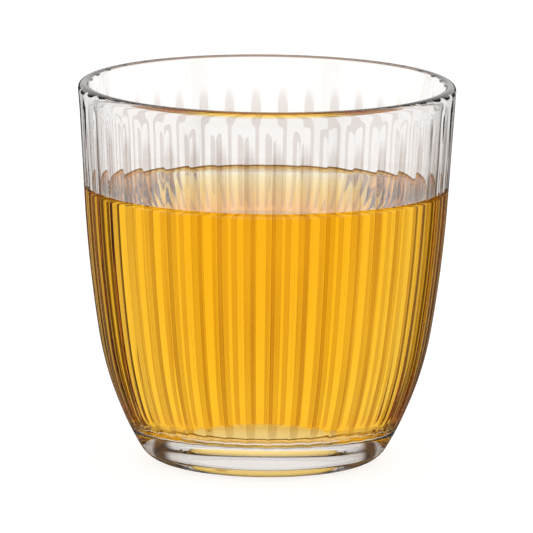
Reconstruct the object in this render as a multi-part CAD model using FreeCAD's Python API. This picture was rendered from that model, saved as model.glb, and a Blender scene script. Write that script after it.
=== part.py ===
"""Fluted glass tumbler filled with apple juice.

The tumbler is a round-bellied glass with a smooth inside, a full round lip and a thick foot.
Its outside has a ring of upright flutes: shallow round-bottomed grooves that rise to the
surface in an arch below the lip and in a lobe above the foot.  Neighbouring grooves meet in a
sharp ridge, which stays close to the plain outline all the way down.  The juice fills the
inside up to its level.

Frame: millimetres, +Z up, origin at the centre of the flat foot.
"""
import FreeCAD, Part
import math
import os
from FreeCAD import Vector

# ---- driving dimensions -------------------------------------------------------------------
HEIGHT = 86.8              # foot to the top of the lip
RIM_RADIUS = 43.0          # outside, at the lip
LIP = 2.7                  # thickness of the round lip
WALL = 1.9                 # thickness of the wall, taken over the ridges
TAPER = 16.0               # distance below the lip's round in which the lip thins to the wall

WALL_LEAN = 3.55           # degrees from upright, upper wall
BELLY_RADIUS = 312.0       # outside radius of the slow curve below the straight wall
BELLY_LEAN = 9.3           # degrees from upright where the belly ends
SHOULDER_RADIUS = 76.0     # outside radius of the quicker curve below the belly
SHOULDER_LEAN = 31.0       # degrees from upright where the shoulder ends
FOOT_ROUNDING = 6.7        # outside rounding that brings the wall to the flat foot

FLOOR = 8.5                # height of the inside floor over the foot
FLOOR_ROUNDING = 8.0       # inside rounding between the wall and the floor

FLUTES = 42                # round the outside
FLUTE_RADIUS = 14.0        # across a groove: radius of its round bottom
FLUTE_DEPTH = 0.48         # deepest cut below the plain outline
FLUTE_CROWN = 2.6          # from the top of the lip down to the top of a groove's arch
FLUTE_END_LEAN = 23.0      # lean of the wall, in degrees, where a groove starts to rise again
RUN_OUT_RADIUS = 70.0      # along a groove: radius in which it rises to the surface
SHOULDER_EASE = 6.0        # how much wider a groove turns on the shoulder, to get shallower

JUICE_LEVEL = 62.6         # top of the juice over the foot
# --------------------------------------------------------------------------------------------

UP = Vector(0, 0, 1)
ACROSS = Vector(0, 1, 0)   # square to the plane that the wall's meridian is drawn in
PITCH = 360.0 / FLUTES


def outward(lean):
    """Unit normal of a wall that leans by this many degrees, in the XZ plane."""
    angle = math.radians(lean)
    return Vector(math.cos(angle), 0, -math.sin(angle))


def down(lean):
    """Unit direction down along such a wall."""
    angle = math.radians(lean)
    return Vector(-math.sin(angle), 0, -math.cos(angle))


class WallLine:
    """The wall's meridian: straight, then belly, shoulder and foot arcs, all tangent.

    Every line parallel to it keeps the same arc centres, so the inside of the wall and the
    path of a flute come from the same object with another inset.
    """

    def __init__(self):
        self.lip_centre = Vector(RIM_RADIUS - LIP / 2, 0, HEIGHT - LIP / 2)
        start = self.lip_centre + outward(WALL_LEAN) * (LIP / 2)
        arcs_drop = (
            BELLY_RADIUS * (sine(BELLY_LEAN) - sine(WALL_LEAN))
            + SHOULDER_RADIUS * (sine(SHOULDER_LEAN) - sine(BELLY_LEAN))
            + FOOT_ROUNDING * (1 - sine(SHOULDER_LEAN))
        )
        straight = (start.z - arcs_drop) / math.cos(math.radians(WALL_LEAN))
        belly_top = start + down(WALL_LEAN) * straight
        self.start = start
        self.belly_centre = belly_top - outward(WALL_LEAN) * BELLY_RADIUS
        self.shoulder_centre = self.belly_centre + outward(BELLY_LEAN) * (
            BELLY_RADIUS - SHOULDER_RADIUS
        )
        self.foot_centre = self.shoulder_centre + outward(SHOULDER_LEAN) * (
            SHOULDER_RADIUS - FOOT_ROUNDING
        )

    def on_straight(self, inset, distance):
        """Point this far down the straight wall, and this far inside the outer surface."""
        return self.start - outward(WALL_LEAN) * inset + down(WALL_LEAN) * distance

    def on_belly(self, inset, lean):
        return self.belly_centre + outward(lean) * (BELLY_RADIUS - inset)

    def on_shoulder(self, inset, lean):
        return self.shoulder_centre + outward(lean) * (SHOULDER_RADIUS - inset)

    def on_foot(self, lean):
        return self.foot_centre + outward(lean) * FOOT_ROUNDING

    def down_to_shoulder(self, inset, distance, last_lean):
        """Edges from a point on the straight wall to a point on the shoulder."""
        first = self.on_straight(inset, distance)
        belly_top = self.on_belly(inset, WALL_LEAN)
        belly_end = self.on_belly(inset, BELLY_LEAN)
        return [
            Part.makeLine(first, belly_top),
            arc(belly_top, self.on_belly(inset, (WALL_LEAN + BELLY_LEAN) / 2), belly_end),
            arc(
                belly_end,
                self.on_shoulder(inset, (BELLY_LEAN + last_lean) / 2),
                self.on_shoulder(inset, last_lean),
            ),
        ]


def sine(degrees):
    return math.sin(math.radians(degrees))


def arc(first, middle, last):
    return Part.Arc(first, middle, last).toShape()


def floor_turn(wall_line):
    """Where the inside leaves the shoulder for the rounding that meets the floor.

    Returns the rounding's centre and the wall's lean at the point where they touch.
    """
    shoulder = wall_line.shoulder_centre
    reach = SHOULDER_RADIUS - WALL - FLOOR_ROUNDING
    centre_height = FLOOR + FLOOR_ROUNDING
    rise = centre_height - shoulder.z
    run = math.sqrt(reach ** 2 - rise ** 2)
    centre = Vector(shoulder.x + run, 0, centre_height)
    return centre, math.degrees(math.atan2(-rise, run))


def blank_profile(wall_line):
    """Outside of the tumbler closed over the top as a plain solid of revolution."""
    lean = WALL_LEAN
    lip_outer = wall_line.start
    lip_crown = wall_line.lip_centre + UP * (LIP / 2)
    lip_side = wall_line.lip_centre + (outward(lean) - down(lean)) * (LIP / 2 / math.sqrt(2))
    foot_edge = wall_line.on_foot(90)
    edges = wall_line.down_to_shoulder(0, 0, SHOULDER_LEAN)
    edges.append(
        arc(
            wall_line.on_shoulder(0, SHOULDER_LEAN),
            wall_line.on_foot((SHOULDER_LEAN + 90) / 2),
            foot_edge,
        )
    )
    edges.append(Part.makeLine(foot_edge, Vector(0, 0, 0)))
    edges.append(Part.makeLine(Vector(0, 0, 0), Vector(0, 0, lip_crown.z)))
    edges.append(Part.makeLine(Vector(0, 0, lip_crown.z), lip_crown))
    edges.append(arc(lip_crown, lip_side, lip_outer))
    return edges


def cavity_profile(wall_line):
    """Inside of the tumbler up over the round of the lip."""
    turn_centre, turn_lean = floor_turn(wall_line)
    lean = WALL_LEAN
    lip_inner = wall_line.on_straight(LIP, 0)
    taper_end = wall_line.on_straight(WALL, TAPER)
    lip_crown = wall_line.lip_centre + UP * (LIP / 2)
    lip_side = wall_line.lip_centre - (outward(lean) + down(lean)) * (LIP / 2 / math.sqrt(2))
    floor_edge = turn_centre - UP * FLOOR_ROUNDING
    turn_middle = turn_centre + outward((turn_lean + 90) / 2) * FLOOR_ROUNDING
    edges = [arc(lip_crown, lip_side, lip_inner), Part.makeLine(lip_inner, taper_end)]
    edges += wall_line.down_to_shoulder(WALL, TAPER, turn_lean)
    edges.append(arc(wall_line.on_shoulder(WALL, turn_lean), turn_middle, floor_edge))
    edges.append(Part.makeLine(floor_edge, Vector(0, 0, FLOOR)))
    edges.append(Part.makeLine(Vector(0, 0, FLOOR), Vector(0, 0, lip_crown.z)))
    edges.append(Part.makeLine(Vector(0, 0, lip_crown.z), lip_crown))
    return edges


def revolved(edges):
    face = Part.Face(Part.Wire(Part.__sortEdges__(edges)))
    return face.revolve(Vector(0, 0, 0), UP, 360)


def flute_cutter(wall_line):
    """Round rod that cuts one flute into the outside of the wall.

    The rod follows the straight wall and the belly, turns a little wider than the shoulder,
    and at both ends bends away from the glass until it has left it.
    """
    inset = FLUTE_DEPTH - FLUTE_RADIUS
    rise = math.acos(1 - FLUTE_DEPTH / RUN_OUT_RADIUS)
    top = wall_line.on_straight(
        inset, FLUTE_CROWN - LIP / 2 + RUN_OUT_RADIUS * math.sin(rise))
    belly_top = wall_line.on_belly(inset, WALL_LEAN)
    belly_end = wall_line.on_belly(inset, BELLY_LEAN)
    shoulder_centre = wall_line.shoulder_centre - outward(BELLY_LEAN) * SHOULDER_EASE
    shoulder_reach = (belly_end - shoulder_centre).Length
    bottom = shoulder_centre + outward(FLUTE_END_LEAN) * shoulder_reach

    to_bend = RUN_OUT_RADIUS - FLUTE_RADIUS
    top_centre = top + outward(WALL_LEAN) * to_bend
    bottom_centre = bottom + outward(FLUTE_END_LEAN) * to_bend
    bend = 2 * math.degrees(rise)
    return rod_section(top, WALL_LEAN).extrude(belly_top - top).multiFuse([
        rod_section(top, WALL_LEAN).revolve(top_centre, ACROSS, bend),
        rod_section(belly_top, WALL_LEAN).revolve(
            wall_line.belly_centre, ACROSS, BELLY_LEAN - WALL_LEAN),
        rod_section(belly_end, BELLY_LEAN).revolve(
            shoulder_centre, ACROSS, FLUTE_END_LEAN - BELLY_LEAN),
        rod_section(bottom, FLUTE_END_LEAN).revolve(bottom_centre, ACROSS, -bend),
    ])


def rod_section(centre, lean):
    """Round face square to a wall of this lean, its seam turned away from the glass."""
    circle = Part.makeCircle(FLUTE_RADIUS, centre, down(lean))
    seam = circle.Vertexes[0].Point - centre
    if seam.dot(outward(lean)) < 0:
        circle.rotate(centre, down(lean), 180)
    return Part.Face(Part.Wire(circle))


def fluted_blank(wall_line):
    """The outside with its flutes: one pitch is cut, then repeated round the axis and sewn."""
    blank = revolved(blank_profile(wall_line))
    pitch = blank.cut(flute_cutter(wall_line)).common(wedge())
    sides = [outward_side(PITCH / 2), outward_side(-PITCH / 2)]
    skin = [face for face in pitch.Faces if not lies_on_side(face, sides)]
    faces = []
    for number in range(FLUTES):
        for face in skin:
            copy = face.copy()
            copy.rotate(Vector(0, 0, 0), UP, number * PITCH)
            faces.append(copy)
    shell = Part.makeShell(faces)
    shell.sewShape()
    return Part.makeSolid(shell).removeSplitter()


def wedge():
    """Everything within half a pitch to either side of the XZ plane, over and under the glass."""
    reach = 2 * RIM_RADIUS
    tip_a = Vector(reach, reach * math.tan(math.radians(PITCH / 2)), 0)
    tip_b = Vector(tip_a.x, -tip_a.y, 0)
    triangle = Part.makePolygon([Vector(0, 0, 0), tip_b, tip_a, Vector(0, 0, 0)])
    triangle.translate(UP * -HEIGHT)
    return Part.Face(triangle).extrude(UP * HEIGHT * 3)


def outward_side(degrees):
    """Normal of the upright plane through the axis at this angle from the XZ plane."""
    angle = math.radians(degrees)
    return Vector(-math.sin(angle), math.cos(angle), 0)


def lies_on_side(face, normals, tolerance=1e-4):
    """True where a face lies in one of the upright planes that bound a pitch."""
    points = [vertex.Point for vertex in face.Vertexes] + [face.CenterOfMass]
    return any(all(abs(point.dot(normal)) < tolerance for point in points) for normal in normals)


def below(height):
    """Block that holds everything under this height."""
    reach = 2 * RIM_RADIUS
    return Part.makeBox(2 * reach, 2 * reach, height, Vector(-reach, -reach, 0))


def main():
    wall_line = WallLine()
    cavity = revolved(cavity_profile(wall_line))
    tumbler = fluted_blank(wall_line).cut(cavity)
    juice = cavity.common(below(JUICE_LEVEL))
    os.makedirs("parts", exist_ok=True)
    for name, shape in (("tumbler", tumbler), ("apple_juice", juice)):
        solids = shape.Solids
        assert len(solids) == 1 and solids[0].isValid(), name
        solids[0].exportStep(os.path.join("parts", name + ".step"))
        box = solids[0].BoundBox
        print(name, "volume %.0f mm3" % solids[0].Volume,
              "z %.2f to %.2f" % (box.ZMin, box.ZMax), "faces", len(solids[0].Faces))


main()
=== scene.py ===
# %% [markdown]
# # A fluted tumbler of apple juice
# The real object is two things: a clear pressed-glass tumbler with forty-two upright flutes
# round its outside, and the juice that fills it. What the eye sees is light that has gone
# through both, bent at the walls and coloured by the juice. Both could be thin see-through
# skins, but only closed bodies of the right thickness bend light as the real ones do, so that
# is what they are here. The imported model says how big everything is, so the first cell loads
# it as the frame.

# %% Load the frame
import math

import bmesh
import bpy
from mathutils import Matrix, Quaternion, Vector


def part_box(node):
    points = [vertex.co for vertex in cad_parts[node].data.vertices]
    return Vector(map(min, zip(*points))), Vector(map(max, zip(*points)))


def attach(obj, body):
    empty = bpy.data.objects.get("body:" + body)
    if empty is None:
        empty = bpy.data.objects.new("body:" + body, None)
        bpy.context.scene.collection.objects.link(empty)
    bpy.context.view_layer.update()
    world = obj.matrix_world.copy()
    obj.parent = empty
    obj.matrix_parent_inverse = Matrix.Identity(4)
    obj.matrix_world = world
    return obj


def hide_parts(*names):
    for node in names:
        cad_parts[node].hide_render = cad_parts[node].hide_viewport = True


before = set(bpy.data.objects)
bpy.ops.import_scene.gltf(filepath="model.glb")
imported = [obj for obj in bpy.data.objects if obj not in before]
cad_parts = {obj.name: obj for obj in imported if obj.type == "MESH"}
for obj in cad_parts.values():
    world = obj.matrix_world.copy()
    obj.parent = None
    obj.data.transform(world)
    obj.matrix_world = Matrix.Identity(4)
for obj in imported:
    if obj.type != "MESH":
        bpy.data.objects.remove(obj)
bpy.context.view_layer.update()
TUMBLER_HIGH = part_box("tumbler")[1]
JUICE_LOW, JUICE_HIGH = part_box("apple_juice")
MM = 0.001
print("nodes", sorted(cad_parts), "height", round(TUMBLER_HIGH[2] / MM, 2), "mm")

# %% [markdown]
# ## Sizes
# A tumbler's outline is a few leans and radii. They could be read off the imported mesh, but a
# mesh only has points, while a lean or a radius can be understood and changed. So the height,
# the lip's radius, the floor and the juice's level come from the frame, and the leans and radii
# of the wall are the same named values as in the solids, which gives the same outline.
# Two forms differ from the solids. The flutes are wider and shallower, because a deep flute
# bends light so much that it shows as many thin streaks and not as one band. And the middle of
# the floor is raised in a low dome: the juice is thinner there, and looks pale.

# %% Sizes of the tumbler
HEIGHT = TUMBLER_HIGH[2]
RIM_RADIUS = TUMBLER_HIGH[0]
LIP = 2.7 * MM                              # thickness of the round lip
WALL = 1.9 * MM                             # thickness of the wall below its taper
TAPER = 16 * MM                             # length over which the lip thins to the wall

WALL_LEAN = math.radians(3.55)              # each lean is from upright
BELLY_RADIUS = 312 * MM
BELLY_LEAN = math.radians(9.3)              # where the belly meets the shoulder
SHOULDER_RADIUS = 76 * MM
SHOULDER_LEAN = math.radians(31)            # where the shoulder meets the foot
FOOT_ROUNDING = 6.7 * MM

FLOOR = JUICE_LOW[2]                        # height of the inside floor
FLOOR_ROUNDING = 8 * MM
DOME_RADIUS = 12.5 * MM
DOME_HEIGHT = 4.8 * MM

print("lip radius", round(RIM_RADIUS / MM, 2), "mm, inside floor", round(FLOOR / MM, 2), "mm up")

# %% Sizes of the flutes, and the juice's level
FLUTES = 42
FLUTE_RADIUS = 60 * MM                      # radius of the rod that would leave the groove
FLUTE_DEPTH = 0.185 * MM
FLUTE_CROWN = 2.6 * MM                      # from the top of the lip to the top of a flute
FLUTE_END_LEAN = math.radians(22.8)         # where on the shoulder a flute starts to rise
RUN_OUT_RADIUS = 70 * MM                    # radius of the bend by which a flute rises
HALF_PITCH = math.pi / FLUTES

LEVEL = JUICE_HIGH[2]
print(FLUTES, "flutes, juice up to", round(LEVEL / MM, 2), "mm")

# %% [markdown]
# ## The line of the wall
# A turned or pressed form is easiest to think of as one line swept round an axis. The line
# could be drawn by hand, but then the inside, the outside and the flutes would each need a copy
# of it. Here it is a straight wall and two arcs that touch, kept as centres and radii: any
# parallel line, such as the inside of the glass, is the same centres with another radius.

# %% The line of the wall
def outward(lean):
    """Unit normal (out, up) of a wall that leans by this angle from upright."""
    return Vector((math.cos(lean), -math.sin(lean)))


def down(lean):
    """Unit step (out, up) down a wall that leans by this angle."""
    return Vector((-math.sin(lean), -math.cos(lean)))


LIP_CENTRE = Vector((RIM_RADIUS - LIP / 2, HEIGHT - LIP / 2))
WALL_START = LIP_CENTRE + outward(WALL_LEAN) * LIP / 2
ARCS_DROP = (
    BELLY_RADIUS * (math.sin(BELLY_LEAN) - math.sin(WALL_LEAN))
    + SHOULDER_RADIUS * (math.sin(SHOULDER_LEAN) - math.sin(BELLY_LEAN))
    + FOOT_ROUNDING * (1 - math.sin(SHOULDER_LEAN))
)
STRAIGHT = (WALL_START.y - ARCS_DROP) / math.cos(WALL_LEAN)
BELLY_CENTRE = WALL_START + down(WALL_LEAN) * STRAIGHT - outward(WALL_LEAN) * BELLY_RADIUS
SHOULDER_CENTRE = BELLY_CENTRE + outward(BELLY_LEAN) * (BELLY_RADIUS - SHOULDER_RADIUS)
FOOT_CENTRE = SHOULDER_CENTRE + outward(SHOULDER_LEAN) * (SHOULDER_RADIUS - FOOT_ROUNDING)

print("straight wall", round(STRAIGHT / MM, 1), "mm, then belly and shoulder")

# %% [markdown]
# ## The flutes
# A flute is the groove that a round rod would leave in the wall. It has one depth down the wall
# and rises to the surface in an arch at the top and a lobe at the bottom. It could be cut with
# a Boolean, which leaves untidy faces that show in clear glass. But it follows a rule, so the
# depth at each point of one pitch is worked out instead, and that point is pushed in.

# %% Depth of a groove
RISE = math.acos(1 - FLUTE_DEPTH / RUN_OUT_RADIUS)
RUN_OUT = RUN_OUT_RADIUS * math.sin(RISE)
FULL_DEPTH_AT = FLUTE_CROWN - LIP / 2 + RUN_OUT
LONG_OUT = RUN_OUT_RADIUS / 2               # this far along its bend, a groove has long ended
EDGE_SOFTNESS = 0.035 * MM


def run_out_loss(distance):
    """How much a groove has risen this far along its bend out of the glass."""
    reach = min(max(distance, 0), LONG_OUT)
    return RUN_OUT_RADIUS - math.sqrt(RUN_OUT_RADIUS ** 2 - reach ** 2)


def groove_bottom(distance, lean):
    """Depth of the bottom of a groove, this far down the straight wall and at this lean."""
    lost_above = run_out_loss(FULL_DEPTH_AT - distance)
    lost_below = run_out_loss((lean - FLUTE_END_LEAN) * SHOULDER_RADIUS)
    return FLUTE_DEPTH - lost_above - lost_below


def groove_depth(station, angle):
    """Depth below the plain outline at one point of a pitch, with a slightly rounded edge."""
    radius = station["point"].x
    across = radius * math.sin(angle)
    sagitta = FLUTE_RADIUS - math.sqrt(FLUTE_RADIUS ** 2 - across ** 2)
    depth = station["depth"] - sagitta - radius * (1 - math.cos(angle))
    return (depth + math.sqrt(depth ** 2 + EDGE_SOFTNESS ** 2)) / 2


print("a groove runs out over", round(RUN_OUT / MM, 2), "mm")

# %% [markdown]
# ## Stations down the outside
# The stations are the points of the outline that the mesh uses. They could be evenly spaced,
# but then the arch and the lobe of a flute would be coarse, or the mesh far too heavy. So they
# are close together where the arch and the lobe are, and far apart down the plain length of a
# flute, where the form hardly turns.

# %% Points of the outline
def spread(first, last, count):
    """Evenly spaced numbers from first up to, but not including, last."""
    return [first + (last - first) * number / count for number in range(count)]


def station(point, normal, depth=None):
    """A point of the outline; the depth is that of the groove there, if there is one."""
    return {"point": point, "normal": normal, "depth": depth}


def on_straight(inset, distance, depth=None):
    """A station on the straight wall, this deep in the glass and this far down."""
    point = WALL_START - outward(WALL_LEAN) * inset + down(WALL_LEAN) * distance
    return station(point, outward(WALL_LEAN), depth)


def on_arc(centre, radius, lean, depth=None):
    """A station on an arc, where it has this lean."""
    return station(centre + outward(lean) * radius, outward(lean), depth)


print("the straight wall ends", round(on_straight(0, STRAIGHT)["point"].y / MM, 1), "mm up")

# %% Stations over the lip and down the outside
PLAIN_LIP = 0.6 * MM                        # length of wall under the lip without a groove
ARCH_END = FULL_DEPTH_AT + 1 * MM
OUTSIDE_POINTS = {"lip": 13, "arch": 22, "straight": 9, "belly": 11, "shoulder": 9, "lobe": 22,
                  "foot": 8}
FOOT_RINGS = (0.97, 0.6, 0.2)               # rings on the underside, in shares of its flat radius


def lip_stations():
    """Over the round of the lip, from its inner edge to just short of its outer edge."""
    stations = []
    for turn in spread(math.pi, 0, OUTSIDE_POINTS["lip"])[1:]:
        normal = outward(WALL_LEAN) * math.cos(turn) - down(WALL_LEAN) * math.sin(turn)
        stations.append(station(LIP_CENTRE + normal * LIP / 2, normal))
    return stations


def straight_stations():
    """Down the straight wall, with the arches of the flutes at its top."""
    distances = spread(0, ARCH_END, OUTSIDE_POINTS["arch"])
    distances += spread(ARCH_END, STRAIGHT, OUTSIDE_POINTS["straight"])
    stations = []
    for distance in distances:
        depth = groove_bottom(distance, WALL_LEAN) if distance > PLAIN_LIP else None
        stations.append(on_straight(0, distance, depth))
    return stations


def outside_stations():
    """From the lip's outer edge down to the middle of the foot."""
    stations = straight_stations()
    for lean in spread(WALL_LEAN, BELLY_LEAN, OUTSIDE_POINTS["belly"]):
        stations.append(on_arc(BELLY_CENTRE, BELLY_RADIUS, lean, groove_bottom(STRAIGHT, lean)))
    leans = spread(BELLY_LEAN, FLUTE_END_LEAN, OUTSIDE_POINTS["shoulder"])
    leans += spread(FLUTE_END_LEAN, SHOULDER_LEAN, OUTSIDE_POINTS["lobe"])
    for lean in leans:
        depth = groove_bottom(STRAIGHT, lean)
        stations.append(on_arc(SHOULDER_CENTRE, SHOULDER_RADIUS, lean, depth))
    for lean in spread(SHOULDER_LEAN, math.pi / 2, OUTSIDE_POINTS["foot"]) + [math.pi / 2]:
        stations.append(on_arc(FOOT_CENTRE, FOOT_ROUNDING, lean))
    for share in FOOT_RINGS:
        stations.append(station(Vector((FOOT_CENTRE.x * share, 0)), outward(math.pi / 2)))
    return stations


print(len(outside_stations()), "stations outside,", len(lip_stations()), "over the lip")

# %% [markdown]
# ## Stations up the inside
# The inside is plain: a low dome, a flat ring of floor, a rounding that meets the wall, a wall
# parallel to the outside, and a taper that thickens to the lip. It could be the outside made
# smaller, but a real wall has one thickness and a floor of its own. The juice touches this same
# line, so both pieces are made from it.

# %% Stations up the inside
INSIDE_POINTS = {"dome": 14, "rounding": 16, "shoulder": 10, "belly": 11, "straight": 8, "taper": 5}
DOME_START = 0.12                           # angle from the dome's top to its first ring
DOME_CLEARANCE = 0.1 * MM                   # from the foot of the dome to the first ring of floor
FLOOR_RINGS = (0, 0.3, 0.7)                 # rings of floor, in shares from dome to rounding


def dome_stations():
    """From the top of the dome in the floor down to its foot."""
    stations = []
    for turn in spread(DOME_START, math.pi / 2, INSIDE_POINTS["dome"]):
        point = Vector((DOME_RADIUS * math.sin(turn), FLOOR + DOME_HEIGHT * math.cos(turn)))
        inward = Vector((-math.sin(turn) / DOME_RADIUS, -math.cos(turn) / DOME_HEIGHT))
        stations.append(station(point, inward.normalized()))
    return stations


def inside_stations():
    """From the middle of the inside floor up to the lip's inner edge."""
    reach = SHOULDER_RADIUS - WALL - FLOOR_ROUNDING
    rise = FLOOR + FLOOR_ROUNDING - SHOULDER_CENTRE.y
    run = math.sqrt(reach ** 2 - rise ** 2)
    centre = Vector((SHOULDER_CENTRE.x + run, FLOOR + FLOOR_ROUNDING))
    turn_lean = math.atan2(-rise, centre.x - SHOULDER_CENTRE.x)
    stations = dome_stations()
    for share in FLOOR_RINGS:
        out = DOME_RADIUS + DOME_CLEARANCE + (centre.x - DOME_RADIUS) * share
        stations.append(station(Vector((out, FLOOR)), Vector((0, -1))))
    for lean in spread(math.pi / 2, turn_lean, INSIDE_POINTS["rounding"]):
        stations.append(on_arc(centre, FLOOR_ROUNDING, lean))
    for lean in spread(turn_lean, BELLY_LEAN, INSIDE_POINTS["shoulder"]):
        stations.append(on_arc(SHOULDER_CENTRE, SHOULDER_RADIUS - WALL, lean))
    for lean in spread(BELLY_LEAN, WALL_LEAN, INSIDE_POINTS["belly"]):
        stations.append(on_arc(BELLY_CENTRE, BELLY_RADIUS - WALL, lean))
    for distance in spread(STRAIGHT, TAPER, INSIDE_POINTS["straight"]):
        stations.append(on_straight(WALL, distance))
    for share in spread(0, 1, INSIDE_POINTS["taper"]) + [1]:
        stations.append(on_straight(WALL + (LIP - WALL) * share, TAPER * (1 - share)))
    return stations


print(len(inside_stations()), "stations inside")

# %% [markdown]
# ## The surface of one pitch
# Both round pieces are forty-two equal pitches. A full ring of points could be worked out at
# once, but the rule is easier to see, and to change, on a single pitch. Its columns crowd
# towards the ridges at both sides, where the surface turns sharply, and both ends of the line
# are closed with a fan of triangles to the axis.

# %% Surface of one pitch
FLUTED_STRIPS = 14
PLAIN_STRIPS = 5


def pitch_mesh(name, stations, columns):
    """One row of points for each station, pushed in where a groove is."""
    points = []
    for item in stations:
        for share in columns:
            angle = share * HALF_PITCH
            push = 0 if item["depth"] is None else groove_depth(item, angle)
            place = item["point"] - item["normal"] * push
            points.append((place.x * math.cos(angle), place.x * math.sin(angle), place.y))
    width = len(columns)
    faces = []
    for row in range(len(stations) - 1):
        for column in range(width - 1):
            corner = row * width + column
            faces.append((corner, corner + 1, corner + width + 1, corner + width))
    for end in (0, len(stations) - 1):
        pole = len(points)
        points.append((0, 0, stations[end]["point"].y))
        for column in range(width - 1):
            corner = end * width + column
            pair = (corner + 1, corner) if end == 0 else (corner, corner + 1)
            faces.append(pair + (pole,))
    mesh = bpy.data.meshes.new(name)
    mesh.from_pydata(points, [], faces)
    mesh.update()
    return mesh


FLUTED_COLUMNS = [math.sin(math.pi / 2 * share) for share in spread(-1, 1, FLUTED_STRIPS)] + [1]
PLAIN_COLUMNS = spread(-1, 1, PLAIN_STRIPS) + [1]
print(FLUTED_STRIPS, "strips across a flute,", PLAIN_STRIPS, "across a plain pitch")

# %% [markdown]
# ## Sums with nodes
# Blender's nodes are a way to write sums: where a copy goes, or how much painted shade a point of
# the glass gets. Made one by one, each plus and times is a node and two links, and nobody can
# read the sum.
# The class Value lets a line of Python build those nodes, with the signs + - * and /, and the
# class Nodes adds any other node in one line. Both serve geometry and finishes alike.

# %% A socket that takes part in sums
class Value:
    """An output socket that can be added, multiplied and compared, which adds Math nodes."""

    def __init__(self, nodes, socket):
        self.nodes = nodes
        self.socket = socket

    def math(self, operation, *others):
        return self.nodes.add("ShaderNodeMath", {"operation": operation}, self, *others)[0]

    def reflected(self, operation, other):
        return self.nodes.add("ShaderNodeMath", {"operation": operation}, other, self)[0]

    def __add__(self, other):
        return self.math("ADD", other)

    def __sub__(self, other):
        return self.math("SUBTRACT", other)

    def __rsub__(self, other):
        return self.reflected("SUBTRACT", other)

    def __mul__(self, other):
        return self.math("MULTIPLY", other)

    def __truediv__(self, other):
        return self.math("DIVIDE", other)

    def __rtruediv__(self, other):
        return self.reflected("DIVIDE", other)

    __radd__ = __add__
    __rmul__ = __mul__

    def step(self, first, last):
        """0 up to first, 1 from last on, and a smooth rise between them."""
        settings = {"interpolation_type": "SMOOTHSTEP"}
        return self.nodes.add("ShaderNodeMapRange", settings, self, first, last, 0.0, 1.0)[0]

    def between(self, span, soft):
        """1 inside a span of two numbers, with soft edges."""
        first, last = span
        return self.step(first - soft, first + soft) * (1 - self.step(last - soft, last + soft))


print("sums on sockets are ready")

# %% Nodes of a tree
SOCKETS_BETWEEN = 5                         # on a Mix node, from its factor to its two colours


class Nodes:
    """The nodes of one tree, under construction."""

    def __init__(self, tree):
        self.tree = tree

    def add(self, kind, settings=None, *values, **by_name):
        """Adds a node, sets it up, fills its sockets in order or by name, returns its outputs."""
        node = self.tree.nodes.new(kind)
        for key, value in (settings or {}).items():
            setattr(node, key, value)
        for key, value in list(enumerate(values)) + list(by_name.items()):
            socket = node.inputs[key.replace("_", " ") if isinstance(key, str) else key]
            if isinstance(value, Value):
                self.tree.links.new(value.socket, socket)
            elif value is not None:
                socket.default_value = value
        return [Value(self, output) for output in node.outputs]

    def output(self, kind, name):
        """One output of a new node, found by its name."""
        return next(output for output in self.add(kind) if output.socket.name == name)

    def mix(self, factor, first, last):
        """A colour between two colours."""
        skipped = [None] * SOCKETS_BETWEEN
        return self.add("ShaderNodeMix", {"data_type": "RGBA"}, factor, *skipped, first, last)[2]

    def noise(self, place, scale, detail=2.0):
        """A soft random pattern from 0 to 1, finer at a higher scale."""
        return self.add("ShaderNodeTexNoise", None, place, Scale=scale, Detail=detail)[0]


def emptied_nodes(owner):
    """The nodes of a material or a world, cleared."""
    owner.use_nodes = True
    owner.node_tree.nodes.clear()
    return Nodes(owner.node_tree)


print("node helpers are ready")

# %% [markdown]
# ## Repeat a pitch round the axis
# On the real glass the mould gives every flute the same form. Forty-two copies could be placed
# by hand, or by an Array modifier with a turned helper object. A small Geometry Nodes tree does
# it with a named number of pitches: it puts a copy on each of that many points, turns it by its
# share of a full turn, makes the copies real and sews their edges. The same tree turns the
# juice, so glass and juice always agree.

# %% A tree that repeats a pitch
SEAM = 0.002 * MM                           # points nearer to each other than this are joined


def repeat_tree():
    tree = bpy.data.node_groups.new("repeat_round_axis", "GeometryNodeTree")
    for name, kind in (("Geometry", "NodeSocketGeometry"), ("Count", "NodeSocketInt"),
                       ("Seam", "NodeSocketFloat"), ("Material", "NodeSocketMaterial")):
        tree.interface.new_socket(name, in_out="INPUT", socket_type=kind)
    tree.interface.new_socket("Geometry", in_out="OUTPUT", socket_type="NodeSocketGeometry")
    nodes = Nodes(tree)
    pitch, count, seam, material = nodes.add("NodeGroupInput")[:4]
    points = nodes.add("GeometryNodePoints", Count=count)[0]
    angle = nodes.add("GeometryNodeInputIndex")[0] * (2 * math.pi / count)
    spin = nodes.add("ShaderNodeCombineXYZ", Z=angle)[0]
    copies = nodes.add("GeometryNodeInstanceOnPoints", Points=points, Instance=pitch,
                       Rotation=spin)[0]
    real = nodes.add("GeometryNodeRealizeInstances", Geometry=copies)[0]
    sewn = nodes.add("GeometryNodeMergeByDistance", Geometry=real, Distance=seam)[0]
    smooth = nodes.add("GeometryNodeSetShadeSmooth", Geometry=sewn)[0]
    dressed = nodes.add("GeometryNodeSetMaterial", Geometry=smooth, Material=material)[0]
    nodes.add("NodeGroupOutput", Geometry=dressed)
    return tree


REPEAT = repeat_tree()
print("the tree has", len(REPEAT.nodes), "nodes")

# %% Turn a pitch into a whole piece
def print_form(piece):
    """Prints the volume of a piece, and whether its surface is closed."""
    form = bmesh.new()
    form.from_mesh(piece.data)
    print(piece.name, "volume", round(form.calc_volume(signed=True) / MM ** 3), "mm3,",
          2 * len(form.faces), "triangles at most, open edges",
          sum(not edge.is_manifold for edge in form.edges))
    form.free()


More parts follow.
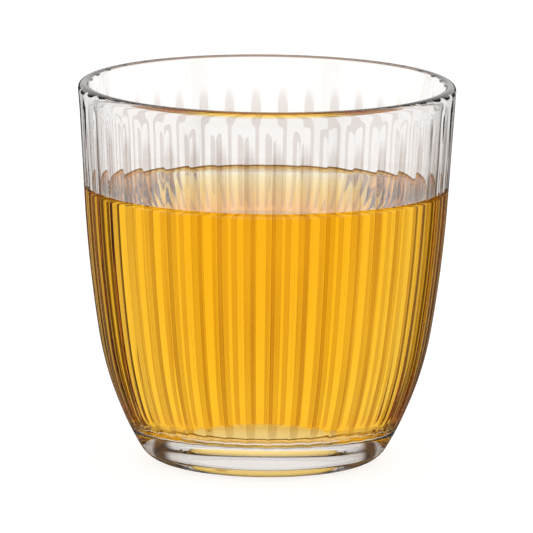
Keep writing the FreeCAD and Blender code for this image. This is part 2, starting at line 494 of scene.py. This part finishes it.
def repeated(name, mesh, material):
    """Turns a pitch into the whole round piece, as a plain mesh object at the origin."""
    mesh.materials.append(material)         # before the tree runs, so that its slot is the first
    strip = bpy.data.objects.new(name + "_strip", mesh)
    bpy.context.collection.objects.link(strip)
    modifier = strip.modifiers.new("repeat", "NODES")
    modifier.node_group = REPEAT
    values = {"Count": FLUTES, "Seam": SEAM, "Material": material}
    for item in REPEAT.interface.items_tree:
        if item.in_out == "INPUT" and item.name in values:
            modifier[item.identifier] = values[item.name]
    evaluated = strip.evaluated_get(bpy.context.evaluated_depsgraph_get())
    whole = bpy.data.meshes.new_from_object(evaluated)
    whole.name = name
    piece = bpy.data.objects.new(name, whole)
    bpy.context.collection.objects.link(piece)
    bpy.data.objects.remove(strip)
    print_form(piece)
    return piece


print("each piece is one pitch, turned", FLUTES, "times")

# %% [markdown]
# ## A clear finish
# Glass and juice are both clear: light turns as it crosses their surface, and some of it is
# mirrored. Blender's Glass node does that, but the Principled node also takes a tint at each
# crossing, and its mirror reflection can be turned down. That matters where glass and juice
# touch: hardly any light is mirrored there, but each body by itself would shine as it does in
# air. Such a wetted face has no gloss straight on. A shadow ray goes nearly straight through,
# because light that is bent onto the floor would otherwise be missing from it.

# %% Clear finish
SHADOW_TINT = (0.88, 0.86, 0.84, 1)         # what a shadow ray keeps at each crossing
DRY_GLOSS = 1.0
WETTED_GLOSS = 0.0
RIPPLE_HEIGHT = 0.2 * MM


def finish_clear(nodes, tint, normal, ior, gloss, clearness=1.0, volume=None):
    """Ends a clear material; its gloss is the share of mirror reflection that it keeps."""
    surface = nodes.add("ShaderNodeBsdfPrincipled", None, Base_Color=tint, Normal=normal,
                        Roughness=0.0, IOR=ior, Transmission_Weight=clearness,
                        Specular_Tint=(gloss, gloss, gloss, 1))[0]
    passing = nodes.add("ShaderNodeBsdfTransparent", None, SHADOW_TINT)[0]
    shadow_ray = nodes.output("ShaderNodeLightPath", "Is Shadow Ray")
    both = nodes.add("ShaderNodeMixShader", None, shadow_ray, surface, passing)[0]
    nodes.add("ShaderNodeOutputMaterial", Surface=both, Volume=volume)


def ripple_normal(nodes, position, scale=60.0, detail=1.0, strength=0.05):
    """A very faint unevenness, which keeps a surface from looking machined."""
    ripple = nodes.noise(position, scale, detail)
    return nodes.add("ShaderNodeBump", None, Strength=strength, Distance=RIPPLE_HEIGHT,
                     Height=ripple)[0]


print("ripples are up to", round(RIPPLE_HEIGHT / MM, 2), "mm high, times their strength")

# %% [markdown]
# ## Painted shade on the flanks
# Each flute turns the light, so one of its flanks looks shaded beside the other, with a fine dark
# outline where juice is behind it. In a real room that comes from refraction alone, as a room
# has dark and bright things all round. A plain studio has few, and more of them would also show
# in the rest of the glass. So a part of each band, with its outlines, is painted shade: a tint on
# the outside of the glass, worked out from a point's place across its flute, and refraction does
# the rest.

# %% Where the painted shade of the flanks is
FLUTE_MIDDLE = 0.5                          # the angle 0 is in the middle of a flute
# painted shade spans: the shaded flank, its two dark outlines and a dark far line
FLANK = (0.02, 0.39)                        # spans across a flute, from ridge 0 to ridge 1
PAINTED_OUTLINES = ((0.015, 0.05), (0.375, 0.415))
PAINTED_FAR_LINE = (0.87, 0.895)
FLANK_SOFTNESS = 0.02
LINE_SOFTNESS = 0.012

FLANK_MIDDLE = 0.215
HALF_FLANK = 0.2                            # from the middle of the flank to its side
ARCH_DROP = 2.2 * MM                        # how much lower the arch is at the side
LOBE_RISE = 0.6                             # how much higher the lobe is there, in arch drops
ARCH_FADE = (HEIGHT - 6 * MM, HEIGHT - 11 * MM)
LOBE_FADE = (8.5 * MM, 11.5 * MM)


def across_flute(x, y):
    """0 at a ridge, rising to 1 at the next ridge anticlockwise."""
    turn = y.math("ARCTAN2", x) * (FLUTES / (2 * math.pi))
    return (turn + (FLUTE_MIDDLE + FLUTES)).math("FRACT")    # FLUTES keeps the sum above 0


def flank_height(across, z):
    """1 down the length of a flank, fading in an arch at its top and a lobe at its foot."""
    off_middle = (across - FLANK_MIDDLE) / HALF_FLANK
    drop = off_middle * off_middle * ARCH_DROP
    return (z + drop).step(*ARCH_FADE) * (z - drop * LOBE_RISE).step(*LOBE_FADE)


# the painted shade of a flank takes this share of its flute
print("a smoky flank takes", round(100 * (FLANK[1] - FLANK[0])), "percent of its flute")

# %% How strong the painted shade of the flanks is
FLANK_STRENGTH = 0.72
OUTLINE_STRENGTH = 0.35
FAR_LINE_STRENGTH = 0.45
LEAST_SHADE = 0.48
UNEVEN_SHADE = 0.6
UNEVEN_SCALE = 45.0
DRY_EXTRA = 0.2                             # how much stronger the painted shade of a flank is above the juice
LEVEL_FADE = (LEVEL, LEVEL + 1 * MM)


def painted_flank_shade(nodes, across, z, position):
    """How much painted shade a point of the outside gets, from 0 up."""
    above = z.step(*LEVEL_FADE)
    flank = across.between(FLANK, FLANK_SOFTNESS)
    near_outline, far_outline = (across.between(span, LINE_SOFTNESS) for span in PAINTED_OUTLINES)
    line = across.between(PAINTED_FAR_LINE, LINE_SOFTNESS)
    lines = (near_outline + far_outline) * OUTLINE_STRENGTH + line * FAR_LINE_STRENGTH
    uneven = nodes.noise(position, UNEVEN_SCALE, 0.0)
    strength = (LEAST_SHADE + uneven * UNEVEN_SHADE) * (1 + above * DRY_EXTRA)
    return (flank * FLANK_STRENGTH + lines * (1 - above)) * flank_height(across, z) * strength


print("shade from", LEAST_SHADE, "to", round(LEAST_SHADE + UNEVEN_SHADE, 2), "of its strength")

# %% [markdown]
# ## Outside of the glass
# The glass is water-white. Its thick foot looks grey, darkest at the very bottom, and the round
# of the lip gathers light from every side into a fine dark line. Both would need a fuller room
# to come from refraction, so they are painted shade, tints by height on the side of the foot and
# on the lip. Above the juice, where air is behind it, the glass gets a faint painted shade too.

# %% Painted shade of the glass
CLEAR = (1, 1, 1, 1)
DRY_GLASS_PAINTED_SHADE = (0.90, 0.895, 0.895, 1)    # painted shade: glass with air behind it is painted a little grey
# painted shade of the flanks, above the juice and below it
DRY_PAINTED_SHADE = (0.42, 0.33, 0.29, 1)
WET_PAINTED_SHADE = (0.40, 0.25, 0.11, 1)
WET_FADE = (LEVEL, LEVEL + 0.6 * MM)

# painted shade on the side of the foot, deepest at its very bottom
FOOT_PAINTED_SHADE = (0.60, 0.58, 0.57, 1)
FOOT_GREY_FADE = (6.3 * MM, 7.3 * MM)
FOOT_PAINTED_DEEP_SHADE = (0.34, 0.31, 0.30, 1)
FOOT_DARK_FADE = (0.3 * MM, 1.6 * MM)
FOOT_SIDE_FADE = (FOOT_CENTRE.x, FOOT_CENTRE.x + 1.5 * MM)

LIP_PAINTED_SHADE = (0.13, 0.075, 0.05, 1)
LIP_LINE_FADE = (HEIGHT - 0.55 * MM, HEIGHT - 0.30 * MM)


# painted shade: a fine dark line round the top of the lip, inside and out
def painted_lip_shade(nodes, z, tint):
    return nodes.mix(z.step(*LIP_LINE_FADE), tint, LIP_PAINTED_SHADE)


print("the foot is grey up to", round(FOOT_GREY_FADE[1] / MM, 1), "mm")

# %% Outside of the glass
GLASS_IOR = 1.5


def make_glass():
    material = bpy.data.materials.new("clear_glass")
    nodes = emptied_nodes(material)
    position = nodes.output("ShaderNodeTexCoord", "Object")
    x, y, z = nodes.add("ShaderNodeSeparateXYZ", None, position)
    wet = 1 - z.step(*WET_FADE)
    on_side = (x * x + y * y).math("SQRT").step(*FOOT_SIDE_FADE)
    # painted shade: a faint grey on the glass above the juice
    body = nodes.mix(wet, DRY_GLASS_PAINTED_SHADE, CLEAR)
    # painted shade: the side of the foot grey, and darkest at its very bottom
    body = nodes.mix(on_side * (1 - z.step(*FOOT_GREY_FADE)), body, FOOT_PAINTED_SHADE)
    body = nodes.mix(on_side * (1 - z.step(*FOOT_DARK_FADE)), body, FOOT_PAINTED_DEEP_SHADE)
    # painted shade on one flank of each flute, grey-brown above the juice and gold-brown below it
    painted_shade_tint = nodes.mix(wet, DRY_PAINTED_SHADE, WET_PAINTED_SHADE)
    tint = nodes.mix(painted_flank_shade(nodes, across_flute(x, y), z, position), body, painted_shade_tint)
    # painted shade: the fine dark line round the lip
    tint = painted_lip_shade(nodes, z, tint)
    finish_clear(nodes, tint, ripple_normal(nodes, position), GLASS_IOR, DRY_GLOSS)
    return material


GLASS = make_glass()
print(GLASS.name, "has", len(GLASS.node_tree.nodes), "nodes")

# %% [markdown]
# ## Inside of the glass
# The inside is plain and very slightly cloudy. It could share the outside's finish, but then
# light would meet each band twice, and the faces that the juice wets would keep their gloss. So
# it has a finish of its own, made twice: dry, and wetted. The floor under the juice has a painted
# warm light, which stands in for light that has gone through much juice, and the lip has the
# same painted shade as outside.

# %% Inside of the glass
CLOUD_SCALE = 30.0
CLOUD_TINTS = ((0.94, 0.935, 0.93, 1), (0.98, 0.98, 0.98, 1))
# painted light on the floor under the juice
PAINTED_WARM_LIGHT = (1.0, 0.90, 0.80, 1)
PAINTED_WARM_LIGHT_FADE = (FLOOR + DOME_HEIGHT, FLOOR + DOME_HEIGHT + 2 * MM)


def make_inner_glass(name, gloss):
    material = bpy.data.materials.new(name)
    nodes = emptied_nodes(material)
    position = nodes.output("ShaderNodeTexCoord", "Object")
    z = nodes.add("ShaderNodeSeparateXYZ", None, position)[2]
    tint = nodes.mix(nodes.noise(position, CLOUD_SCALE), *CLOUD_TINTS)
    # painted light: the floor under the juice takes a warm tint
    tint = nodes.mix(1 - z.step(*PAINTED_WARM_LIGHT_FADE), tint, PAINTED_WARM_LIGHT)
    tint = painted_lip_shade(nodes, z, tint)
    finish_clear(nodes, tint, ripple_normal(nodes, position), GLASS_IOR, gloss)
    return material


DRY_GLASS = make_inner_glass("clear_glass_inside", DRY_GLOSS)
WET_GLASS = make_inner_glass("clear_glass_under_juice", WETTED_GLOSS)
print("inside finishes", DRY_GLASS.name, "and", WET_GLASS.name)

# %% [markdown]
# ## The tumbler
# One line runs over the whole glass: up the inside, over the lip, down the outside and in under
# the foot. The inside and the outside could be two skins, but one closed surface is a real body
# with a thickness, which is what bends light. The line is followed backwards, so that the faces
# point out of the glass. Then the faces of the inside get their own finishes.

# %% Make the tumbler
FLOOR_REACH = 1 * MM                        # how far above the dome a face may still be floor
FLOOR_SLACK = 0.1 * MM


def finish_inside(tumbler):
    """Gives the inside its wetted finish under the juice, and its dry one above."""
    materials = tumbler.data.materials
    materials.append(DRY_GLASS)
    materials.append(WET_GLASS)
    dry_slot = materials.find(DRY_GLASS.name)
    wet_slot = materials.find(WET_GLASS.name)
    for face in tumbler.data.polygons:
        height = face.center.z
        inward = face.normal.x * face.center.x + face.normal.y * face.center.y < 0
        on_floor = face.normal.z > 0 and height < FLOOR + DOME_HEIGHT + FLOOR_REACH
        if (inward or on_floor) and FLOOR - FLOOR_SLACK < height < LEVEL:
            face.material_index = wet_slot
        elif inward and height > LEVEL:
            face.material_index = dry_slot


tumbler_line = (inside_stations() + lip_stations() + outside_stations())[::-1]
tumbler_pitch = pitch_mesh("tumbler_pitch", tumbler_line, FLUTED_COLUMNS)
tumbler = repeated("tumbler_glass", tumbler_pitch, GLASS)
finish_inside(tumbler)
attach(tumbler, "root")
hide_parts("tumbler")

# %% [markdown]
# ## Colour of apple juice
# Clear juice has no colour on its surface. It takes blue out of the light that goes through, a
# little with each millimetre. A tinted surface would be as deep in a thin layer as in a thick
# one, so the colour is a volume absorption: thin parts are straw, and the full width of the
# glass is deep gold.

# %% Juice finish
JUICE_IOR = 1.345
JUICE_COLOUR = (0.995, 0.836, 0.005, 1)
JUICE_DENSITY = 58.0
HAZE_SCALE = 25.0
HAZE_TINT = (1.0, 0.985, 0.95, 1)


def finish_juice(nodes, tint, normal, clearness=1.0):
    """Ends a finish of the juice; each of them colours the light inside in the same way."""
    inside = nodes.add("ShaderNodeVolumeAbsorption", Color=JUICE_COLOUR, Density=JUICE_DENSITY)[0]
    finish_clear(nodes, tint, normal, JUICE_IOR, WETTED_GLOSS, clearness, inside)


def make_juice():
    material = bpy.data.materials.new("clear_apple_juice")
    nodes = emptied_nodes(material)
    position = nodes.output("ShaderNodeTexCoord", "Object")
    tint = nodes.mix(nodes.noise(position, HAZE_SCALE), HAZE_TINT, CLEAR)
    normal = ripple_normal(nodes, position, scale=40.0, detail=2.0, strength=0.04)
    finish_juice(nodes, tint, normal)
    return material


JUICE = make_juice()
print(JUICE.name, "absorbs with density", JUICE_DENSITY)

# %% [markdown]
# ## The edge of the juice
# Where the juice climbs the glass it shows as a thin gold line right round its surface. It
# could be a thin ring laid on the juice, but a ring would need its own fit to the glass. So the
# juice's own top faces get a second finish there, half clear, with a painted gold highlight that
# stands in for light seen through the climbing juice, and painted shade on the same flank of
# each flute as the glass.

# %% Edge finish
# painted gold highlight round the edge, and painted shade on this span of each flute
EDGE_FLANK = (0.02, 0.4)
EDGE_FLANK_SOFTNESS = 0.05
EDGE_PAINTED_HIGHLIGHT = (0.93, 0.56, 0.13, 1)
EDGE_PAINTED_SHADE = (0.72, 0.38, 0.06, 1)
EDGE_CLEARNESS = 0.5


def make_edge():
    material = bpy.data.materials.new("apple_juice_edge")
    nodes = emptied_nodes(material)
    position = nodes.output("ShaderNodeTexCoord", "Object")
    x, y = nodes.add("ShaderNodeSeparateXYZ", None, position)[:2]
    # painted shade on one flank of each flute
    deep = across_flute(x, y).between(EDGE_FLANK, EDGE_FLANK_SOFTNESS)
    tint = nodes.mix(deep, EDGE_PAINTED_HIGHLIGHT, EDGE_PAINTED_SHADE)
    normal = ripple_normal(nodes, position, scale=300.0, detail=2.0, strength=0.2)
    finish_juice(nodes, tint, normal, EDGE_CLEARNESS)
    return material


JUICE_EDGE = make_edge()
print(JUICE_EDGE.name, "is", EDGE_CLEARNESS, "clear")

# %% [markdown]
# ## The body of juice
# Where liquid meets glass there must be no film of air, which would shine like a mirror. The
# two could share one surface, but a renderer can't tell which of two equal surfaces comes
# first. So the juice reaches a few hundredths of a millimetre into the wall and the floor. Its
# surface isn't flat to the edge: it climbs the glass in a small meniscus, whose height dies
# away inwards.

# %% Stations of the juice
OVERLAP = 0.06 * MM
MENISCUS = 0.9 * MM                         # how high the juice climbs the glass
MENISCUS_REACH = 1.1 * MM                   # over this distance its height falls to about a third
MENISCUS_GAP = 0.2 * MM                     # from the last station on the wall up to the edge
SURFACE_RINGS = (0.08, 0.2, 0.36, 0.6, 0.9, 1.3, 1.9, 2.7, 3.8, 5.5, 8, 14, 22, 30, 36)    # mm in

EDGE_HEIGHT = LEVEL + MENISCUS
JUICE_WALL = [item for item in inside_stations() if item["point"].y < EDGE_HEIGHT - MENISCUS_GAP]
WALL_END = JUICE_WALL[-1]["point"]
EDGE_RADIUS = WALL_END.x + (EDGE_HEIGHT - WALL_END.y) * math.tan(WALL_LEAN)


def wetted_stations():
    """Up the floor and the wall to the edge of the juice, pushed a little into the glass."""
    edge = station(Vector((EDGE_RADIUS, EDGE_HEIGHT)), outward(WALL_LEAN))
    return [station(item["point"] + item["normal"] * OVERLAP, item["normal"])
            for item in JUICE_WALL + [edge]]


def surface_stations():
    """From the edge of the juice in over its surface, down the meniscus."""
    stations = []
    for ring in SURFACE_RINGS:
        height = LEVEL + MENISCUS * math.exp(-ring * MM / MENISCUS_REACH)
        stations.append(station(Vector((EDGE_RADIUS - ring * MM, height)), Vector((0, 1))))
    return stations


print("the juice climbs", round(MENISCUS / MM, 2), "mm up the glass")

# %% Make the juice
EDGE_START = 0.08 * MM                      # a top face this far above the level is edge


def finish_edge(juice):
    """Gives the top faces that climb the glass the finish of the edge."""
    juice.data.materials.append(JUICE_EDGE)
    edge_slot = juice.data.materials.find(JUICE_EDGE.name)
    for face in juice.data.polygons:
        if face.center.z > LEVEL + EDGE_START and face.normal.z > 0:
            face.material_index = edge_slot


juice_pitch = pitch_mesh("juice_pitch", wetted_stations() + surface_stations(), PLAIN_COLUMNS)
juice = repeated("apple_juice_body", juice_pitch, JUICE)
finish_edge(juice)
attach(juice, "root")
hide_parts("apple_juice")

# %% [markdown]
# ## A bubble
# A single bubble hangs low in the juice. It is air with juice round it. It could be a ball that
# glows a little, but the real one shines because it bends light the other way. So it is a
# closed ball, a little flattened outwards, whose IOR is that of air divided by that of juice.

# %% Bubble
BUBBLE_RADIUS = 0.42 * MM
BUBBLE_PLACE = Vector((-12.3 * MM, -23.4 * MM, 11.8 * MM))
BUBBLE_FLATTENED = 0.18
BUBBLE_DETAIL = 3                           # how often the faces of the ball are divided
FILM_SCALE = 900.0
FILM_TINT = (1.0, 0.97, 0.90, 1)


def make_bubble_finish():
    material = bpy.data.materials.new("air_in_juice")
    nodes = emptied_nodes(material)
    position = nodes.output("ShaderNodeTexCoord", "Object")
    tint = nodes.mix(nodes.noise(position, FILM_SCALE), FILM_TINT, CLEAR)
    finish_clear(nodes, tint, ripple_normal(nodes, position), 1 / JUICE_IOR, DRY_GLOSS)
    return material


def make_bubble():
    form = bmesh.new()
    bmesh.ops.create_icosphere(form, subdivisions=BUBBLE_DETAIL, radius=BUBBLE_RADIUS)
    out = Vector((BUBBLE_PLACE.x, BUBBLE_PLACE.y, 0)).normalized()
    for point in form.verts:
        point.co -= out * point.co.dot(out) * BUBBLE_FLATTENED
        point.co += BUBBLE_PLACE
    mesh = bpy.data.meshes.new("bubble")
    form.to_mesh(mesh)
    form.free()
    mesh.polygons.foreach_set("use_smooth", [True] * len(mesh.polygons))
    mesh.materials.append(make_bubble_finish())
    bubble = bpy.data.objects.new("bubble", mesh)
    bpy.context.collection.objects.link(bubble)
    return bubble


bubble = make_bubble()
print("bubble", len(bubble.data.polygons), "faces")
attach(bubble, "root")

# %% [markdown]
# ## Floor
# The glass stands on white paper. Plain paper would look grey beside the white background, and
# more light to whiten it would wash out the glass. So the camera sees a paper that is part
# shaded and part glowing, which is white and still holds the shadow, and light from the glass
# meets plain paper. The paper isn't seen through the glass or mirrored in it: the glass shows
# the studio instead.

# %% Floor
PAPER = (0.9, 0.9, 0.9, 1)
SHADED_PAPER = (0.45, 0.45, 0.45, 1)
PAPER_GLOW = 0.78
PAPER_SIZE = 6                              # metres
PAPER_DROP = 0.2 * MM                       # below the foot, so that the two don't touch


def make_paper():
    material = bpy.data.materials.new("white_paper")
    nodes = emptied_nodes(material)
    paper = nodes.add("ShaderNodeBsdfDiffuse", None, PAPER)[0]
    shaded = nodes.add("ShaderNodeBsdfDiffuse", None, SHADED_PAPER)[0]
    glow = nodes.add("ShaderNodeEmission", None, CLEAR, PAPER_GLOW)[0]
    seen = nodes.add("ShaderNodeAddShader", None, shaded, glow)[0]
    camera_ray = nodes.output("ShaderNodeLightPath", "Is Camera Ray")
    both = nodes.add("ShaderNodeMixShader", None, camera_ray, paper, seen)[0]
    nodes.add("ShaderNodeOutputMaterial", Surface=both)
    return material


bpy.ops.mesh.primitive_plane_add(size=PAPER_SIZE, location=(0, 0, -PAPER_DROP))
floor = bpy.context.object
floor.name = "floor"
floor.data.materials.append(make_paper())
floor.visible_transmission = False
floor.visible_glossy = False
print("floor", PAPER_SIZE, "m square")

# %% [markdown]
# ## Light
# A studio lights glass with broad pale panels, and its dark gaps draw the edges of the glass.
# Lamps could stand in for the panels, but each would show as a small hot spot. Here the world
# itself has four equal panels with a narrow gap between each two, so that the glass looks the
# same from its four sides. Seen from between two panels, a gap stands right behind the glass
# and shows through it. The world is darker overhead, and near the horizon and below it is
# nearly dark to mirror reflections alone, which would otherwise veil the wall. The camera
# itself sees plain white.

# %% Light of the panels
PANELS = 4
PANEL_TURN = 360 / PANELS                   # degrees, from the middle of one gap to the next
PANEL_FADE = (35, 42)                       # degrees from a panel's middle to its soft edge
PANEL_LIGHT = (1.14, 1.12, 1.10, 1)
GAP_LIGHT = (0.15, 0.105, 0.08, 1)
PANEL_MIDDLE = 0.5                          # the bearing 0 is in the middle of a panel
WHOLE_TURNS = 2                             # these keep the sum above 0
OVERHEAD_FADE = (34, 46)                    # degrees above the horizon
OVERHEAD_LOSS = 0.5
HORIZON_FADE = (0.0, 0.12)
HORIZON_LOSS = 0.93


def panel_light(nodes, x, y):
    """Colour of the world by bearing: a pale panel, or the gap between two."""
    bearing = x.math("ARCTAN2", y) * (180 / math.pi)
    turned = bearing / PANEL_TURN + (PANEL_MIDDLE + WHOLE_TURNS * PANELS)
    away = (turned.math("FRACT") - PANEL_MIDDLE) * PANEL_TURN
    return nodes.mix(away.math("ABSOLUTE").step(*PANEL_FADE), PANEL_LIGHT, GAP_LIGHT)


def light_level(nodes, z):
    """Strength of the world by height, lower for mirror reflections near the horizon."""
    overhead = (z.math("ARCSINE") * (180 / math.pi)).step(*OVERHEAD_FADE)
    mirrored = nodes.output("ShaderNodeLightPath", "Is Reflection Ray")
    low = 1 - z.step(*HORIZON_FADE)
    return (1 - overhead * OVERHEAD_LOSS) * (1 - mirrored * low * HORIZON_LOSS)


print("a gap is", round(PANEL_TURN - 2 * PANEL_FADE[1]), "degrees wide at its darkest")

# %% World
def make_world():
    world = bpy.data.worlds.new("studio")
    nodes = emptied_nodes(world)
    direction = nodes.output("ShaderNodeTexCoord", "Generated")
    x, y, z = nodes.add("ShaderNodeSeparateXYZ", None, direction)
    light = panel_light(nodes, x, y)
    studio = nodes.add("ShaderNodeBackground", None, light, light_level(nodes, z))[0]
    white = nodes.add("ShaderNodeBackground", None, CLEAR, 1.0)[0]
    camera_ray = nodes.output("ShaderNodeLightPath", "Is Camera Ray")
    both = nodes.add("ShaderNodeMixShader", None, camera_ray, studio, white)[0]
    nodes.add("ShaderNodeOutputWorld", Surface=both)
    return world


bpy.context.scene.world = make_world()
print("studio with", PANELS, "panels")

# %% [markdown]
# ## Camera
# A tumbler on a table is seen from a little above, so that its lip and the surface of the juice
# show as slim ovals. A near camera with a wide lens would do, but it makes the lip look larger
# than the foot. A long lens from far off keeps the true outline. The camera is placed by its
# angles round the middle of the glass, and leans by about half a degree.

# %% Camera
CAMERA_HEIGHT = math.radians(10.21)
CAMERA_TURN = math.radians(-1.73)
CAMERA_ROLL = math.radians(0.6)
CAMERA_DISTANCE = 2.2                       # metres
SENSOR_WIDTH = 36                           # the sensor and the lens are in millimetres
LENS = 651.6
SHIFT_X = 0.0024
SHIFT_Y = 0.0079
NEAREST = 0.1


def make_camera():
    camera = bpy.data.objects.new("camera", bpy.data.cameras.new("camera"))
    bpy.context.collection.objects.link(camera)
    target = Vector((0, 0, HEIGHT / 2))
    along = CAMERA_DISTANCE * math.cos(CAMERA_HEIGHT)
    camera.location = target + Vector((
        along * math.sin(CAMERA_TURN), -along * math.cos(CAMERA_TURN),
        CAMERA_DISTANCE * math.sin(CAMERA_HEIGHT)))
    facing = (target - camera.location).to_track_quat("-Z", "Y")
    camera.rotation_mode = "QUATERNION"
    camera.rotation_quaternion = facing @ Quaternion((0, 0, 1), CAMERA_ROLL)
    camera.data.sensor_width = SENSOR_WIDTH
    camera.data.lens = LENS
    camera.data.shift_x = SHIFT_X
    camera.data.shift_y = SHIFT_Y
    camera.data.clip_start = NEAREST
    return camera


bpy.context.scene.camera = make_camera()
print("camera", CAMERA_DISTANCE, "m away,", round(math.degrees(CAMERA_HEIGHT), 1), "degrees up")

# %% [markdown]
# ## How far light is followed
# A ray that reaches the eye through this glass may have crossed its walls, its flutes and its
# floor many times. With Blender's usual number of bounces it would stop on the way, and leave
# black spots in the glass. More bounces cost time, so there are only somewhat more than usual.
# The colours are shown as they are, without a film look.

# %% Render depth
BOUNCES = 28

scene = bpy.context.scene
scene.view_settings.view_transform = "Standard"
scene.cycles.max_bounces = BOUNCES
scene.cycles.transmission_bounces = BOUNCES
scene.cycles.transparent_max_bounces = BOUNCES
print("light is followed for", BOUNCES, "bounces")
